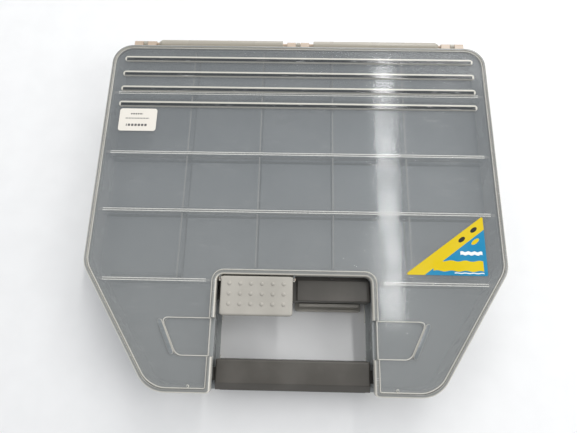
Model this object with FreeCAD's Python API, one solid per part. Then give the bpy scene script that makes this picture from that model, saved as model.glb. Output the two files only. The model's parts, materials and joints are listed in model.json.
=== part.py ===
import FreeCAD, Part
import math
import os
from FreeCAD import Vector

# Double-sided compartment case, millimetres. It lies on its rear lid: +Z is up through the
# front lid, +Y points at the hinge side, -Y at the carrying handle, and +X is to the right.
# The origin is the middle of the bounding box's underside.

# Case outline, seen from above
WIDTH = 350.0
THICKNESS = 50.0
HINGE_EDGE = 150.9
LOBE_END = -158.3
SHOULDER_Y = -60.2
LOBE_HALF = 112.0
NOTCH_HALF = 63.3
NOTCH_TOP = -66.4
BACK_RADIUS = 19.0
SHOULDER_RADIUS = 22.0
LOBE_RADIUS = 26.0
NOTCH_MOUTH_RADIUS = 3.0
NOTCH_RADIUS = 5.5

# Lid
LID_PLATE = 2.0
LID_SINK = 1.2
LID_RIM = 2.7
NOTCH_RIM = 2.7
SKIRT_DEPTH = 7.0
SKIRT_THICK = 2.0
RIM_ROUND = 2.2
RIB_HALF = 163.0
RIB_WIDTH = 5.8
RIB_PITCH = 15.8
RIB_FIRST_Y = 87.8
RIB_COUNT = 4
RIB_ROUND = 0.9
RECESS_TOP = -101.3
RECESS_BOTTOM = -131.3
RECESS_SETBACK = 2.2
PIP_PLACE = (80.2, -153.2)

# Tray moulding
WALL_INSET = 3.2
WALL_THICK = 2.0
WALL_TOP = THICKNESS - LID_SINK - LID_PLATE - 0.4
LEDGE_HEIGHT = 2.5
LEDGE_GAP = 0.3
FLOOR_THICK = 2.0
ROW_WALL_THICK = 2.4
ROW_WALLS_Y = (101.0, 41.2, -12.0)
BIN_WALL_Y = -71.5
DIVIDER_X = (-97.1, -32.4, 32.4, 97.1)
DIVIDER_THICK = 1.2
GROOVE_DEPTH = 0.6
GROOVE_WIDTH = 1.6
DIVIDER_HEIGHT = 19.4

# Hinges
HINGE_OUT = 3.9
HINGE_DOWN = 4.6
BARREL_RADIUS = 3.5
KNUCKLE_RADIUS = 2.3
PIN_RADIUS = 1.2
HINGE_X = 146.1
OUTER_GAP = 13.1
CENTRE_GAP = 14.6
KNUCKLE_START = 2.2
KNUCKLE_LENGTH = 8.2
CENTRE_LUG_HALF = 1.85
STRIP_BEVEL = 3.0
PIN_GRIP = 4.0
RUNNING = 0.06

# Latch
LATCH_LEFT = -59.7
LATCH_RIGHT = -1.0
LATCH_BACK = -67.7
FRONT_LATCH_END = -99.4
REAR_LATCH_END = -92.4
LATCH_PLATE = 2.8
LATCH_AXIS_Y = -69.9
LATCH_AXIS_DOWN = 3.4
LATCH_BARREL = 2.0
LATCH_PIN_RADIUS = 0.9
LATCH_LUG = 1.4
HOOK_THICK = 2.0
HOOK_REACH = 16.0
BUMP_COLUMNS = 6
BUMP_ROWS = 3
BUMP_PITCH_X = 8.85
BUMP_PITCH_Y = 8.2
BUMP_RADIUS = 1.8
BUMP_HEIGHT = 0.9

# Carrying handle and latch keepers
HANDLE_DEPTH = 24.0
BAR_FRONT = -156.6
BAR_BACK = -133.2
BAR_HALF = 61.8
BAR_BEVEL = 5.2
BAR_SEAM = 0.8
BAR_SKIN = 2.4
TENON_WIDTH = 10.0
TENON_DEPTH = 5.0
KEEPER_FRONT = -86.1
KEEPER_STEP = -68.5
KEEPER_HALF = 63.4
KEEPER_PAD = 2.4
PAD_LEFT = 2.5
PEG_PLACE = (31.7, -66.6)

# Printed labels on the front lid
LABEL_CENTRE = (-144.0, 71.9)
LABEL_SIZE = (34.0, 22.2)
LABEL_THICK = 0.2
STICKER_RIGHT = 157.5
STICKER_BOTTOM = -64.3
STICKER_WIDTH = 67.5
STICKER_HEIGHT = 50.5

MIDDLE = THICKNESS / 2
FLOOR_TOP = MIDDLE + FLOOR_THICK / 2
LID_TOP = THICKNESS - LID_SINK
LID_UNDER = LID_TOP - LID_PLATE
AXIS_Y = HINGE_EDGE + HINGE_OUT
AXIS_Z = THICKNESS - HINGE_DOWN
LATCH_AXIS_Z = THICKNESS - LATCH_AXIS_DOWN
LEDGE_TOP = THICKNESS - SKIRT_DEPTH - LEDGE_GAP
LEDGE_BOTTOM = LEDGE_TOP - LEDGE_HEIGHT
INNER_INSET = WALL_INSET + WALL_THICK

os.makedirs("parts", exist_ok=True)


def save(name, shape):
    """Write one sub-part; several solids stay together as one group."""
    clean = shape.removeSplitter()
    assert clean.isValid(), name
    clean.exportStep("parts/" + name + ".step")


def box(low, high):
    """A block between two opposite corners."""
    size = Vector(*high) - Vector(*low)
    return Part.makeBox(size.x, size.y, size.z, Vector(*low))


def rod(radius, start, end):
    """A round bar between two points."""
    span = Vector(*end) - Vector(*start)
    return Part.makeCylinder(radius, span.Length, Vector(*start), span)


def to_rear(shape):
    """The same piece on the rear side: half a turn about the case's long centre line."""
    turned = shape.copy()
    turned.rotate(Vector(0, 0, MIDDLE), Vector(0, 1, 0), 180)
    return turned


def rounded_outline(corners):
    """A closed wire through (x, y, radius) corners, each rounded by a tangent arc."""
    edges = []
    joins = []
    count = len(corners)
    for index in range(count):
        here = Vector(corners[index][0], corners[index][1], 0)
        before = Vector(corners[index - 1][0], corners[index - 1][1], 0)
        after_corner = corners[(index + 1) % count]
        after = Vector(after_corner[0], after_corner[1], 0)
        radius = corners[index][2]
        back = (before - here).normalize()
        ahead = (after - here).normalize()
        half_angle = back.getAngle(ahead) / 2
        reach = radius / math.tan(half_angle)
        bisector = (back + ahead).normalize()
        centre = here + bisector * (radius / math.sin(half_angle))
        start = here + back * reach
        end = here + ahead * reach
        edges.append(Part.Arc(start, centre - bisector * radius, end).toShape())
        joins.append((start, end))
    for index in range(count):
        start = joins[index - 1][1]
        end = joins[index][0]
        edges.append(Part.makeLine(start, end))
    return Part.Wire(Part.__sortEdges__(edges))


def prism(wire, bottom, top):
    """A flat outline raised between two heights."""
    solid = Part.Face(wire).extrude(Vector(0, 0, top - bottom))
    solid.translate(Vector(0, 0, bottom))
    return solid


def case_outline(inset, notch_inset=None):
    """The case's plan shape, drawn in by one amount outside and another round the notch."""
    if notch_inset is None:
        notch_inset = inset
    run = Vector(LOBE_HALF - WIDTH / 2, LOBE_END - SHOULDER_Y, 0).normalize()
    outward = Vector(-run.y, run.x, 0)
    level = outward.x * WIDTH / 2 + outward.y * SHOULDER_Y - inset
    side = WIDTH / 2 - inset
    end = LOBE_END + inset
    shoulder_y = (level - outward.x * side) / outward.y
    lobe_x = (level - outward.y * end) / outward.x
    notch_x = NOTCH_HALF + notch_inset
    right = [
        (notch_x, NOTCH_TOP + notch_inset, NOTCH_RADIUS + notch_inset),
        (notch_x, end, NOTCH_MOUTH_RADIUS),
        (lobe_x, end, LOBE_RADIUS - inset),
        (side, shoulder_y, SHOULDER_RADIUS - inset),
        (side, HINGE_EDGE - inset, BACK_RADIUS - inset),
    ]
    left = [(-x, y, radius) for x, y, radius in reversed(right)]
    return rounded_outline(right + left)


def ring(outer, inner, bottom, top):
    """A wall that follows the case outline between two insets."""
    return prism(case_outline(outer), bottom, top).cut(prism(case_outline(inner), bottom, top))


def both_sides(shape):
    return shape.fuse(to_rear(shape))


def hinge_lines():
    """Each hinge's centre, and how far its pin reaches to the left and right of it."""
    outer = KNUCKLE_START + KNUCKLE_LENGTH
    inner = OUTER_GAP + PIN_GRIP
    middle = CENTRE_GAP + PIN_GRIP
    return [(-HINGE_X, outer, inner), (0.0, middle, middle), (HINGE_X, inner, outer)]


def mounting(radius, start, end):
    """A barrel on the hinge line with the neck and foot that tie it to the ledge."""
    barrel = rod(radius, (start, AXIS_Y, AXIS_Z), (end, AXIS_Y, AXIS_Z))
    foot = box((start, HINGE_EDGE - 4, LEDGE_BOTTOM), (end, AXIS_Y + 2, LEDGE_TOP))
    neck = box((start, AXIS_Y - 1.8, LEDGE_TOP), (end, AXIS_Y + 1.8, AXIS_Z))
    return barrel.fuse([foot, neck])


def hinge_barrels():
    """The tray's half of the front hinges: two long strips and a lug in each hinge."""
    pieces = []
    for side in (-1, 1):
        near = side * CENTRE_GAP
        far = side * (HINGE_X - OUTER_GAP)
        tip = far - side * STRIP_BEVEL
        pieces.append(mounting(BARREL_RADIUS, min(near, tip), max(near, tip)))
        pieces.append(Part.makeCone(BARREL_RADIUS, BARREL_RADIUS - 1.6, STRIP_BEVEL,
                                    Vector(tip, AXIS_Y, AXIS_Z), Vector(side, 0, 0)))
    for centre, _, _ in hinge_lines():
        pieces.append(mounting(KNUCKLE_RADIUS, centre - CENTRE_LUG_HALF, centre + CENTRE_LUG_HALF))
    shape = pieces[0].fuse(pieces[1:])
    return shape.cut([pin_rod(*line, RUNNING) for line in hinge_lines()])


def pin_rod(centre, left, right, extra=0.0):
    """One hinge pin, or the hole it is pressed into when made longer at both ends."""
    return rod(PIN_RADIUS, (centre - left - extra, AXIS_Y, AXIS_Z),
               (centre + right + extra, AXIS_Y, AXIS_Z))


def divider_spans():
    """The rows from the hinge side down: the walls' facing surfaces in each of them."""
    half = ROW_WALL_THICK / 2
    tops = [HINGE_EDGE - INNER_INSET] + [y - half for y in ROW_WALLS_Y]
    floors = [y + half for y in ROW_WALLS_Y]
    return tops, floors


def row_four_floor(x):
    """Where the fourth row's lower wall surface lies at a divider."""
    if abs(x) < NOTCH_HALF + INNER_INSET:
        return NOTCH_TOP + INNER_INSET
    return BIN_WALL_Y + ROW_WALL_THICK / 2


def groove(x, face_y):
    """The pocket that a divider's end slides down into, on the front side."""
    return box((x - GROOVE_WIDTH / 2, face_y - GROOVE_DEPTH, FLOOR_TOP),
               (x + GROOVE_WIDTH / 2, face_y + GROOVE_DEPTH, THICKNESS))


def tray_shell():
    """The outer wall with its two ledges and the tray half of all six hinges."""
    wall = ring(WALL_INSET, INNER_INSET, THICKNESS - WALL_TOP, WALL_TOP)
    ledge = ring(0, INNER_INSET - 0.5, LEDGE_BOTTOM, LEDGE_TOP)
    shape = wall.fuse(both_sides(ledge))
    shape = shape.fuse(both_sides(hinge_barrels()))
    cuts = []
    for x in DIVIDER_X:
        cuts.append(groove(x, HINGE_EDGE - INNER_INSET))
        if abs(x) < NOTCH_HALF:
            cuts.append(groove(x, NOTCH_TOP + INNER_INSET))
    cuts = cuts + [to_rear(cut) for cut in cuts]
    half_y = TENON_WIDTH / 2 + 0.1
    half_z = TENON_DEPTH + 0.1
    bar_y = (BAR_FRONT + BAR_BACK) / 2
    reach = NOTCH_HALF + INNER_INSET + 1
    cuts.append(box((-reach, bar_y - half_y, MIDDLE - half_z),
                    (reach, bar_y + half_y, MIDDLE + half_z)))
    return shape.cut(cuts)


def middle_floor():
    return prism(case_outline(INNER_INSET), MIDDLE - FLOOR_THICK / 2, FLOOR_TOP)


def wall_plate(y, left, right, slots):
    """A cross wall on the front side, trimmed to the shell, with divider grooves."""
    half = ROW_WALL_THICK / 2
    plate = box((left, y - half, FLOOR_TOP), (right, y + half, WALL_TOP))
    plate = plate.common(prism(case_outline(INNER_INSET), FLOOR_TOP, WALL_TOP))
    for x in slots:
        plate = plate.cut([groove(x, y - half), groove(x, y + half)])
    return plate


def divider(x, low, high):
    """A lift-out divider plate with rounded top corners."""
    overlap = GROOVE_DEPTH - 0.15
    plate = box((x - DIVIDER_THICK / 2, low - overlap, FLOOR_TOP),
                (x + DIVIDER_THICK / 2, high + overlap, FLOOR_TOP + DIVIDER_HEIGHT))
    top = FLOOR_TOP + DIVIDER_HEIGHT
    corners = [edge for edge in plate.Edges
               if abs(edge.CenterOfMass.z - top) < 0.01 and abs(edge.Length - DIVIDER_THICK) < 0.01]
    return plate.makeFillet(2.5, corners)


def rib(y):
    """One long bead on the lid, half round in section, with round ends."""
    reach = RIB_HALF
    half = RIB_WIDTH / 2
    wire = rounded_outline([(reach, y - half, half * 0.98), (reach, y + half, half * 0.98),
                            (-reach, y + half, half * 0.98), (-reach, y - half, half * 0.98)])
    bead = prism(wire, LID_TOP - 0.5, THICKNESS - 0.1)
    top = [edge for edge in bead.Edges if edge.BoundBox.ZMin > THICKNESS - 0.2]
    return bead.makeFillet(RIB_ROUND, top)


def thumb_recess(side):
    """The shallow pocket pressed into one lobe, where the lid edge is also set back a little."""
    inner = NOTCH_HALF - 1
    points = [(inner, RECESS_BOTTOM, 0.5), (92.0, RECESS_BOTTOM, 5.0),
              (106.5, RECESS_TOP, 6.0), (inner, RECESS_TOP, 0.5)]
    points = [(side * x, y, radius) for x, y, radius in points]
    pocket = prism(rounded_outline(points), LID_TOP - 1.0, THICKNESS + 1)
    near = side * inner
    far = side * (NOTCH_HALF + RECESS_SETBACK)
    setback = box((min(near, far), RECESS_BOTTOM + 0.5, THICKNESS - SKIRT_DEPTH - 1),
                  (max(near, far), RECESS_TOP, THICKNESS + 1))
    return pocket.fuse(setback)


def pip(side):
    """A small moulded dot near the end of one lobe."""
    x = side * PIP_PLACE[0]
    y = PIP_PLACE[1]
    return Part.makeCone(1.3, 0.8, 0.9, Vector(x, y, LID_TOP - 0.3))


def latch_lug(left):
    """One of the two ears on the lid's notch edge that hold the latch pin."""
    right = left + LATCH_LUG
    ear = rod(LATCH_BARREL, (left, LATCH_AXIS_Y, LATCH_AXIS_Z), (right, LATCH_AXIS_Y, LATCH_AXIS_Z))
    arm = box((left, LATCH_AXIS_Y, LATCH_AXIS_Z - LATCH_BARREL),
              (right, NOTCH_TOP + 0.5, LATCH_AXIS_Z + LATCH_BARREL))
    return ear.fuse(arm)


def lid():
    """A thin cover with a rolled rim, a short skirt, four beads and two pressed recesses."""
    body = prism(case_outline(0), THICKNESS - SKIRT_DEPTH, THICKNESS)
    top = [edge for edge in body.Edges if edge.BoundBox.ZMin > THICKNESS - 0.01]
    body = body.makeFillet(RIM_ROUND, top)
    body = body.cut(prism(case_outline(SKIRT_THICK), THICKNESS - SKIRT_DEPTH - 1, LID_UNDER))
    body = body.cut(prism(case_outline(LID_RIM, NOTCH_RIM), LID_TOP, THICKNESS + 1))
    ribs = [rib(RIB_FIRST_Y + RIB_PITCH * number) for number in range(RIB_COUNT)]
    body = body.fuse(ribs + [pip(1), pip(-1)])
    body = body.cut([thumb_recess(1), thumb_recess(-1)])
    additions = []
    bores = []
    for centre, left, right in hinge_lines():
        for side in (-1, 1):
            near = centre + side * KNUCKLE_START
            far = near + side * KNUCKLE_LENGTH
            low = min(near, far)
            high = max(near, far)
            additions.append(rod(KNUCKLE_RADIUS, (low, AXIS_Y, AXIS_Z), (high, AXIS_Y, AXIS_Z)))
            additions.append(box((low, HINGE_EDGE - 1, AXIS_Z - KNUCKLE_RADIUS),
                                 (high, AXIS_Y, AXIS_Z + KNUCKLE_RADIUS)))
        bores.append(rod(PIN_RADIUS + RUNNING, (centre - left - 1, AXIS_Y, AXIS_Z),
                         (centre + right + 1, AXIS_Y, AXIS_Z)))
    additions.append(latch_lug(LATCH_LEFT - 0.3 - LATCH_LUG))
    additions.append(latch_lug(LATCH_RIGHT + 0.3))
    bores.append(rod(LATCH_PIN_RADIUS, (LATCH_LEFT - 3, LATCH_AXIS_Y, LATCH_AXIS_Z),
                     (LATCH_RIGHT + 3, LATCH_AXIS_Y, LATCH_AXIS_Z)))
    return body.fuse(additions).cut(bores)


def hinge_pins():
    """Three pins, one in each hinge, held in the tray's lugs and strips."""
    return Part.makeCompound([pin_rod(*line) for line in hinge_lines()])


def latch(front):
    """A finger plate on a pin, with a hook wall that reaches down in front of the keeper."""
    top = THICKNESS - BUMP_HEIGHT
    plate = box((LATCH_LEFT, front, top - LATCH_PLATE), (LATCH_RIGHT, LATCH_BACK, top))
    side_edges = [edge for edge in plate.Edges
                  if abs(edge.Length - LATCH_PLATE) < 0.01]
    plate = plate.makeFillet(2.4, side_edges)
    top_edges = [edge for edge in plate.Edges if edge.BoundBox.ZMin > top - 0.01]
    plate = plate.makeFillet(1.7, top_edges)
    barrel = rod(LATCH_BARREL, (LATCH_LEFT, LATCH_AXIS_Y, LATCH_AXIS_Z),
                 (LATCH_RIGHT, LATCH_AXIS_Y, LATCH_AXIS_Z))
    hook_back = KEEPER_FRONT - 0.6
    hook = box((LATCH_LEFT + 4, hook_back - HOOK_THICK, top - LATCH_PLATE - HOOK_REACH),
               (LATCH_RIGHT - 4, hook_back, top - 1))
    lip = box((LATCH_LEFT + 2, front, top - LATCH_PLATE - 2.2),
              (LATCH_RIGHT - 2, front + 1.8, top - 1.5))
    shape = plate.fuse([barrel, hook, lip])
    ball = (BUMP_RADIUS ** 2 + BUMP_HEIGHT ** 2) / (2 * BUMP_HEIGHT)
    first_x = (LATCH_LEFT + LATCH_RIGHT) / 2 - BUMP_PITCH_X * (BUMP_COLUMNS - 1) / 2
    first_y = (front + LATCH_BACK) / 2 + 1.35 - BUMP_PITCH_Y * (BUMP_ROWS - 1) / 2
    bumps = []
    for column in range(BUMP_COLUMNS):
        for row in range(BUMP_ROWS):
            centre = Vector(first_x + column * BUMP_PITCH_X, first_y + row * BUMP_PITCH_Y,
                            THICKNESS - ball)
            bumps.append(Part.makeSphere(ball, centre))
    cap = box((LATCH_LEFT, front, top - 0.3), (LATCH_RIGHT, LATCH_BACK, THICKNESS))
    shape = shape.fuse([bump.common(cap) for bump in bumps])
    bore = rod(LATCH_PIN_RADIUS + RUNNING, (LATCH_LEFT - 1, LATCH_AXIS_Y, LATCH_AXIS_Z),
               (LATCH_RIGHT + 1, LATCH_AXIS_Y, LATCH_AXIS_Z))
    return shape.cut(bore)


def latch_pin():
    reach = 0.3 + LATCH_LUG
    return rod(LATCH_PIN_RADIUS, (LATCH_LEFT - reach, LATCH_AXIS_Y, LATCH_AXIS_Z),
               (LATCH_RIGHT + reach, LATCH_AXIS_Y, LATCH_AXIS_Z))


def hollow(shape, low, high):
    return shape.cut(box(low, high))


def keeper():
    """Front half of the hollow block under the latches, with a raised pad on the bare side."""
    back = NOTCH_TOP + WALL_INSET
    top = MIDDLE + HANDLE_DEPTH / 2
    low_top = top - KEEPER_PAD
    base = box((-KEEPER_HALF, KEEPER_FRONT, MIDDLE), (KEEPER_HALF, back, low_top))
    corners = [edge for edge in base.Edges
               if abs(edge.Length - (low_top - MIDDLE)) < 0.01 and edge.CenterOfMass.y > NOTCH_TOP]
    base = base.makeFillet(NOTCH_RADIUS + WALL_INSET, corners)
    pad = box((PAD_LEFT, KEEPER_FRONT, low_top - 1), (KEEPER_HALF, KEEPER_STEP, top))
    rim = [edge for edge in pad.Edges if edge.BoundBox.ZMin > top - 0.01]
    pad = pad.makeFillet(0.8, rim)
    peg = rod(1.2, (*PEG_PLACE, low_top - 1), (*PEG_PLACE, top - 0.6))
    shape = base.fuse([pad, peg])
    return hollow(shape, (-KEEPER_HALF + 12, KEEPER_FRONT + 2.4, MIDDLE - 1),
                  (KEEPER_HALF - 12, back - 2.4, low_top - 2.4))


def handle_shell():
    """Front half of the grip bar, hollow, with a seam bead and a tenon at each end."""
    top = MIDDLE + HANDLE_DEPTH / 2
    bar = box((-BAR_HALF, BAR_FRONT, MIDDLE), (BAR_HALF, BAR_BACK, top))
    low_edge = [edge for edge in bar.Edges if abs(edge.CenterOfMass.y - BAR_FRONT) < 0.01
                and edge.BoundBox.ZMin > top - 0.01]
    bar = bar.makeChamfer(BAR_BEVEL, low_edge)
    rim = [edge for edge in bar.Edges if edge.BoundBox.ZMin > top - 0.01]
    bar = bar.makeFillet(1.4, rim)
    bar = hollow(bar, (-BAR_HALF + BAR_SKIN, BAR_FRONT + BAR_SKIN, MIDDLE - 1),
                 (BAR_HALF - BAR_SKIN, BAR_BACK - BAR_SKIN, top - BAR_SKIN - 2.4))
    bar_y = (BAR_FRONT + BAR_BACK) / 2
    tenons = []
    for side in (-1, 1):
        near = side * (BAR_HALF - 1)
        far = side * (NOTCH_HALF + INNER_INSET - 0.3)
        tenons.append(box((min(near, far), bar_y - TENON_WIDTH / 2, MIDDLE),
                          (max(near, far), bar_y + TENON_WIDTH / 2, MIDDLE + TENON_DEPTH)))
    seam = box((3 - BAR_HALF, BAR_FRONT - BAR_SEAM, MIDDLE), (BAR_HALF - 3, BAR_FRONT + 1, MIDDLE + 1.2))
    return bar.fuse(tenons + [seam])


def label():
    half_x = LABEL_SIZE[0] / 2
    half_y = LABEL_SIZE[1] / 2
    x, y = LABEL_CENTRE
    wire = rounded_outline([(x + half_x, y - half_y, 2.5), (x + half_x, y + half_y, 2.5),
                            (x - half_x, y + half_y, 2.5), (x - half_x, y - half_y, 2.5)])
    return prism(wire, LID_TOP, LID_TOP + LABEL_THICK)


def sticker():
    wire = rounded_outline([(STICKER_RIGHT, STICKER_BOTTOM, 1.5),
                            (STICKER_RIGHT, STICKER_BOTTOM + STICKER_HEIGHT, 1.0),
                            (STICKER_RIGHT - STICKER_WIDTH, STICKER_BOTTOM, 1.0)])
    return prism(wire, LID_TOP, LID_TOP + LABEL_THICK)


def save_pair(name, front_shape):
    save("front_" + name, front_shape)
    save("rear_" + name, to_rear(front_shape))


def save_walls():
    side = WIDTH / 2
    for number, y in enumerate(ROW_WALLS_Y, 1):
        save_pair("row_wall_%d" % number, wall_plate(y, -side, side, DIVIDER_X))
    inner = NOTCH_HALF + INNER_INSET
    save_pair("bin_wall_right", wall_plate(BIN_WALL_Y, inner, side, DIVIDER_X[3:]))
    save_pair("bin_wall_left", wall_plate(BIN_WALL_Y, -side, -inner, DIVIDER_X[:1]))


def save_dividers():
    tops, floors = divider_spans()
    for column, x in enumerate(DIVIDER_X, 1):
        for row in range(4):
            low = floors[row] if row < 3 else row_four_floor(x)
            plate = divider(x, low, tops[row])
            save("front_divider_%d_%d" % (row + 1, column), plate)
    rear_plate = divider(DIVIDER_X[1], floors[1], tops[1])
    save("rear_divider_2_2", to_rear(rear_plate))


save("tray_shell", tray_shell())
save("middle_floor", middle_floor())
save_walls()
save_dividers()
save_pair("lid", lid())
save_pair("hinge_pins", hinge_pins())
save("front_latch", latch(FRONT_LATCH_END))
save("rear_latch", to_rear(latch(REAR_LATCH_END)))
save_pair("latch_pin", latch_pin())
save_pair("latch_keeper", keeper())
save_pair("handle_shell", handle_shell())
save("price_label", label())
save("corner_sticker", sticker())
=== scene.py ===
"""Double-sided compartment case: finishes, beads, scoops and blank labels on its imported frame."""
import bmesh
import bpy
import json
import math
from bpy.props import FloatProperty, FloatVectorProperty, PointerProperty
from mathutils import Matrix, Vector


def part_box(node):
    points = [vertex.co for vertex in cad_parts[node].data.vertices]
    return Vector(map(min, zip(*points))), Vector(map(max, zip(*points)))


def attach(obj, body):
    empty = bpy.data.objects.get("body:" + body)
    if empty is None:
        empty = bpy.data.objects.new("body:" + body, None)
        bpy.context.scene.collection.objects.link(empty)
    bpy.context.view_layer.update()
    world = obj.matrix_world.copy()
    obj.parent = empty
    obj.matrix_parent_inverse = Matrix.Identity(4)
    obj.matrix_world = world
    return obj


bl_info = {
    "name": "Compartment Case",
    "version": (1, 0, 0),
    "blender": (4, 5, 0),
    "location": "3D View > Sidebar > Case",
    "description": "Finishes, beads, scoops and blank labels for a double-sided compartment case",
    "category": "Object",
}

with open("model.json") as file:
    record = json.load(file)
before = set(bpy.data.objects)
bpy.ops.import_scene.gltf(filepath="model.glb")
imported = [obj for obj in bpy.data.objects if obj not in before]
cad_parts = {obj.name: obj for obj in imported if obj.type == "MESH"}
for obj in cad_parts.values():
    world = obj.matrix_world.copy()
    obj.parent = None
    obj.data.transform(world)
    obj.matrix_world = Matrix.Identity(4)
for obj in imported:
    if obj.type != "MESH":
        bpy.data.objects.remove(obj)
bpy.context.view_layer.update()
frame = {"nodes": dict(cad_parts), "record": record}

LID_LOW, LID_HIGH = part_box("front_lid")
TOP = LID_HIGH.z
MIDDLE = TOP / 2
PLATE_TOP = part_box("price_label")[0].z
WALL_LOW, WALL_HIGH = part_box("front_row_wall_1")
ROW_WALLS = ("front_row_wall_1", "front_row_wall_2", "front_row_wall_3")
BIN_WALLS = ("front_bin_wall_left", "front_bin_wall_right")
SLOT_NODES = {}
for entry in frame["record"]["subparts"]:
    SLOT_NODES.setdefault(entry["material_slot"], []).append(entry["node"])
FINISHES = {}

# Heights closer together than this count as one level.
NEAR = 1e-7

# The hinge strips and knuckles start this far along Y, and at these heights from the middle.
HINGE_START, HINGE_END = 0.1510, 0.1513
STRIP_RISE = (0.0160, 0.0166)
KNUCKLE_RISE = (0.0175, 0.0178)

# The lid's long beads: the strip of lid that holds them, one bead's centre and the pitch.
RIB_ZONE = (0.0835, 0.1395)
RIB_CENTRE, RIB_PITCH = 0.0878, 0.0158
RIB_END = (0.1632, 0.1637)
RIB_ROUND_END = (0.1606, 0.1614)

# Where a bead's painted highlight on the hinge side and on the far side start and end, as parts of
# the pitch from its centre.
RIB_UPPER, RIB_LOWER = (0.035, 0.075), (-0.118, -0.140)

# Where the lid and the middle floor turn paler towards the lobes, along Y, as a painted reflection
# of the lamps.
LID_FADE, FLOOR_FADE = (0.06, -0.15), (0.09, -0.15)

# Where a surface starts and ends to count as raised above the lid's plate.
RAISED = (0.0003, 0.0007)

# The price label's rows: centre and half height, left and right end as parts of the label,
# and the length of one dash in metres.
LABEL_ROWS = (((0.76, 0.030), (0.30, 0.62), 0.0021),
              ((0.56, 0.022), (0.16, 0.80), 0.0014),
              ((0.26, 0.050), (0.20, 0.76), 0.0030))

# The studio's lights: name, place, what it faces, width and depth of its face, and watts.
LAMPS = (("key", (0.33, 0.45, 1.2), (0.33, 0.45, 0.0), (0.07, 1.0), 4.5),
         ("fill", (1.1, -0.15, 0.9), (0, 0, 0), (0.7, 0.7), 5.5),
         ("left", (-1.1, 0.1, 1.0), (0, 0, 0), (1.0, 1.0), 4.0),
         ("back", (0.3, 1.1, 0.9), (0, 0, 0), (1.0, 0.6), 8.0))
WORLD_COLOUR, WORLD_STRENGTH = (0.93, 0.95, 1.0), 0.5

# The camera: place, turns about X, Y and Z in degrees, and its lens.
CAMERA_PLACE = (0.00007, -0.1193, 0.41123)
CAMERA_TURNS = ((-15.801, "X"), (0.579, "Y"), (1.183, "Z"))
SENSOR_WIDTH = 36
FOCAL_TO_WIDTH = 445 / 577
STAGE_HALF, STAGE_GAP = 4, 0.0003


# Sizes and colours


def length(name, text, value):
    """A size in metres, shown in the scene's own unit."""
    return FloatProperty(name=name, description=text, default=value, unit="LENGTH", precision=4)


def paint(name, text, value):
    """A linear colour."""
    return FloatVectorProperty(name=name, description=text, default=value, size=3,
                               subtype="COLOR", min=0.0, max=1.0)


class CaseSizes(bpy.types.PropertyGroup):
    hinge_edge: length("Hinge edge", "Lid edge on the hinge side, along Y", 0.1509)
    shoulder: length("Shoulder", "Where the sides start to slope, along Y", -0.0602)
    lobe_half: length("Lobe half width", "Where the sloped sides end, along X", 0.112)
    notch_half: length("Notch half width", "Side of the notch, along X", 0.0633)
    notch_top: length("Notch top", "Inner edge of the notch, along Y", -0.0664)
    notch_round: length("Notch round", "Bead's rounding at the notch's inner corners", 0.0087)
    foot_round: length("Foot round", "Bead's rounding at the notch's outer corners", 0.0017)
    lobe_round: length("Lobe round", "Bead's rounding where the sloped sides end", 0.01244)
    shoulder_round: length("Shoulder round", "Bead's rounding at the shoulders", 0.00554)
    corner_round: length("Corner round", "Bead's rounding at the hinge side's corners", 0.0158)
    bead_inset: length("Bead inset", "How far the inner rim bead stands in from the edge", 0.0032)
    bead_width: length("Bead width", "Width of the inner rim bead", 0.0009)
    bead_height: length("Bead height", "Height of the inner rim bead above the plate", 0.0006)
    lip_width: length("Lip width", "Width of each of the two lips on a cross wall", 0.0006)
    lip_rise: length("Lip rise", "How far the lips stand above their cross wall", 0.0003)
    scoop_radius: length("Scoop radius", "Curve at the foot of each cross wall", 0.0070)
    scoop_skin: length("Scoop skin", "Thickness of the scoops", 0.0006)
    scoop_end: length("Scoop end", "Outer end of the scoops in the two bins, along X", 0.1600)
    recess_top: length("Recess top", "Thumb recess edge nearer the hinge, along Y", -0.1013)
    recess_bottom: length("Recess bottom", "Thumb recess edge farther from the hinge, along Y",
                          -0.1313)
    recess_bead: length("Recess bead", "Width of the bead beside each thumb recess", 0.0034)
    recess_rise: length("Recess rise", "Full height of the bead beside each thumb recess", 0.0018)
    recess_line: length("Recess line", "Width of the outline of each thumb recess", 0.0008)
    recess_depth: length("Recess depth", "How far that outline starts below the plate", 0.0011)
    pin_dome: length("Pin dome", "How far the hinge pin heads stand out", 0.0006)
    latch_dome: length("Latch dome", "How far the latch pin heads stand out", 0.0005)


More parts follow.
